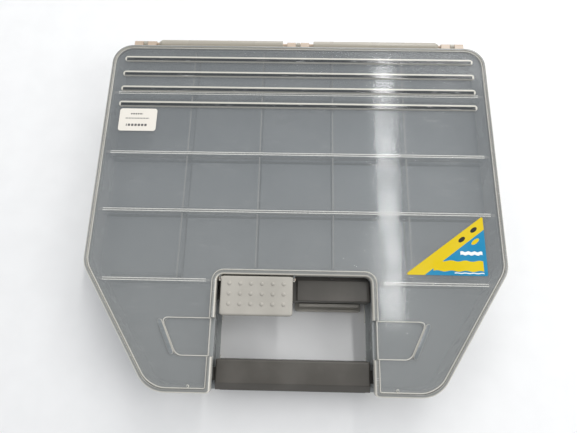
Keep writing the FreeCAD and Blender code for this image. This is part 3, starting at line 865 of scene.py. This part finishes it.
class CASE_OT_grip(bpy.types.Operator):
    """Finishes the handle and latch keepers in dark satin grey"""
    bl_idname = "case.grip"
    bl_label = "Grip And Keepers"

    def execute(self, context):
        satin_finish("Dark Satin", context.scene.case_colours.grip, 1100.0, 0.40, lighter=0.08)
        dress(SLOT_NODES["dark_grey"], "Dark Satin")
        return {"FINISHED"}


class CASE_OT_labels(bpy.types.Operator):
    """Finishes the blank price label and the sticker, and adds the sticker's printed shapes"""
    bl_idname = "case.labels"
    bl_label = "Labels"

    def execute(self, context):
        colours = context.scene.case_colours
        label_finish()
        sticker_finish()
        dress(SLOT_NODES["white_label"], "Label Paper")
        dress(SLOT_NODES["sticker"], "Sticker Film")
        for name, colour in (("Yellow Ink", colours.yellow), ("White Ink", colours.white_ink),
                             ("Dark Ink", colours.dark_ink)):
            satin_finish(name, colour, 700.0, 0.45, lighter=0.02, gloss=0.12)
        low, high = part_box("corner_sticker")
        level = high.z + 0.00004
        tilt = 0.66

        def spot(bm, left, up, half):
            made = bmesh.ops.create_circle(bm, cap_ends=True, radius=1, segments=24)["verts"]
            bmesh.ops.scale(bm, vec=(half[0], half[1], 1), verts=made)
            bmesh.ops.rotate(bm, cent=(0, 0, 0), matrix=Matrix.Rotation(tilt, 3, "Z"), verts=made)
            bmesh.ops.translate(bm, vec=(high.x - left, low.y + up, level), verts=made)

        def wave(bm, left, up, half, swing):
            start, end = high.x - left, high.x - 0.0030
            made = bmesh.ops.create_grid(bm, x_segments=32, y_segments=1, size=1)["verts"]
            for vert in made:
                along = (vert.co.x + 1) / 2
                rise = vert.co.y * half + swing * math.sin(along * math.pi * 7)
                vert.co = (start + along * (end - start), low.y + up + rise, level)

        def dark(bm):
            spot(bm, 0.0085, 0.0385, (0.0034, 0.0017))
            spot(bm, 0.0190, 0.0300, (0.0034, 0.0017))

        def yellow(bm):
            wave(bm, 0.0440, 0.0078, 0.0042, 0.0005)
            spot(bm, 0.0080, 0.0285, (0.0040, 0.0016))

        def white(bm):
            wave(bm, 0.0210, 0.0185, 0.0014, 0.0004)
            wave(bm, 0.0270, 0.0020, 0.0004, 0.0002)

        for name, shape, ink in (("sticker_dark_spots", dark, "Dark Ink"),
                                 ("sticker_yellow_marks", yellow, "Yellow Ink"),
                                 ("sticker_white_marks", white, "White Ink")):
            add_piece(name, shape, "front_lid", ink, smooth=False)
        return {"FINISHED"}


class CASE_OT_stage(bpy.types.Operator):
    """Builds the pale floor, the soft studio light and the camera"""
    bl_idname = "case.stage"
    bl_label = "Stage"

    def execute(self, context):
        scene = context.scene
        colours = scene.case_colours
        tree, shader = new_material("Pale Floor")
        grain = use_group(tree, "Moulded Grain", Size=60.0)
        tone = blend(tree, grain["Tone"], colours.ground, colours.ground_light)
        tree.links.new(tone, shader.inputs["Base Color"])
        tree.links.new(ramp(tree, grain["Tone"], 0.0, 1.0, 0.7, 0.8), shader.inputs["Roughness"])
        mesh = bpy.data.meshes.new("floor")
        bm = bmesh.new()
        bmesh.ops.create_grid(bm, x_segments=1, y_segments=1, size=STAGE_HALF)
        bmesh.ops.translate(bm, vec=(0, 0, -STAGE_GAP), verts=bm.verts[:])
        bm.to_mesh(mesh)
        bm.free()
        mesh.materials.append(FINISHES["Pale Floor"])
        ground = bpy.data.objects.new("floor", mesh)
        scene.collection.objects.link(ground)
        world = bpy.data.worlds.new("studio")
        scene.world = world
        world.use_nodes = True
        backdrop = world.node_tree.nodes["Background"]
        backdrop.inputs["Color"].default_value = (*WORLD_COLOUR, 1)
        backdrop.inputs["Strength"].default_value = WORLD_STRENGTH
        for name, place_at, aim, face, energy in LAMPS:
            light = bpy.data.lights.new(name, "AREA")
            light.shape = "RECTANGLE"
            light.size, light.size_y = face
            light.energy = energy
            lamp = bpy.data.objects.new(name, light)
            lamp.location = place_at
            facing = Vector(aim) - lamp.location
            lamp.rotation_euler = facing.to_track_quat("-Z", "Y").to_euler()
            scene.collection.objects.link(lamp)
        lens = bpy.data.cameras.new("camera")
        lens.lens = FOCAL_TO_WIDTH * SENSOR_WIDTH
        lens.sensor_width = SENSOR_WIDTH
        camera = bpy.data.objects.new("camera", lens)
        scene.collection.objects.link(camera)
        flip = Matrix(((1, 0, 0), (0, -1, 0), (0, 0, -1)))
        tilt = Matrix.Identity(3)
        for turn, axis in CAMERA_TURNS:
            tilt = tilt @ Matrix.Rotation(math.radians(turn), 3, axis)
        facing = (flip @ (tilt @ flip)).transposed()
        camera.matrix_world = Matrix.Translation(CAMERA_PLACE) @ facing.to_4x4()
        scene.camera = camera
        scene.view_settings.view_transform = "Standard"
        return {"FINISHED"}


class CASE_PT_panel(bpy.types.Panel):
    """Lists the case's sizes, colours and pieces"""
    bl_idname = "CASE_PT_panel"
    bl_label = "Compartment Case"
    bl_space_type = "VIEW_3D"
    bl_region_type = "UI"
    bl_category = "Case"

    def draw(self, context):
        layout = self.layout
        for group in (context.scene.case_sizes, context.scene.case_colours):
            column = layout.column()
            for name in group.__annotations__:
                column.prop(group, name)
        for operator in OPERATORS:
            layout.operator(operator.bl_idname)


OPERATORS = (CASE_OT_stage, CASE_OT_clear_parts, CASE_OT_lids, CASE_OT_rim_beads,
             CASE_OT_recess_beads, CASE_OT_wall_lips, CASE_OT_scoops, CASE_OT_hinges,
             CASE_OT_latches, CASE_OT_grip, CASE_OT_labels)
CLASSES = (CaseSizes, CaseColours, *OPERATORS, CASE_PT_panel)


def register():
    for item in CLASSES:
        bpy.utils.register_class(item)
    bpy.types.Scene.case_sizes = PointerProperty(type=CaseSizes)
    bpy.types.Scene.case_colours = PointerProperty(type=CaseColours)


def unregister():
    del bpy.types.Scene.case_colours
    del bpy.types.Scene.case_sizes
    for item in reversed(CLASSES):
        bpy.utils.unregister_class(item)


def main():
    """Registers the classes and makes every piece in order."""
    register()
    bpy.ops.case.stage()
    bpy.ops.case.clear_parts()
    bpy.ops.case.lids()
    bpy.ops.case.rim_beads()
    bpy.ops.case.recess_beads()
    bpy.ops.case.wall_lips()
    bpy.ops.case.scoops()
    bpy.ops.case.hinges()
    bpy.ops.case.latches()
    bpy.ops.case.grip()
    bpy.ops.case.labels()


if __name__ == "__main__":
    main()
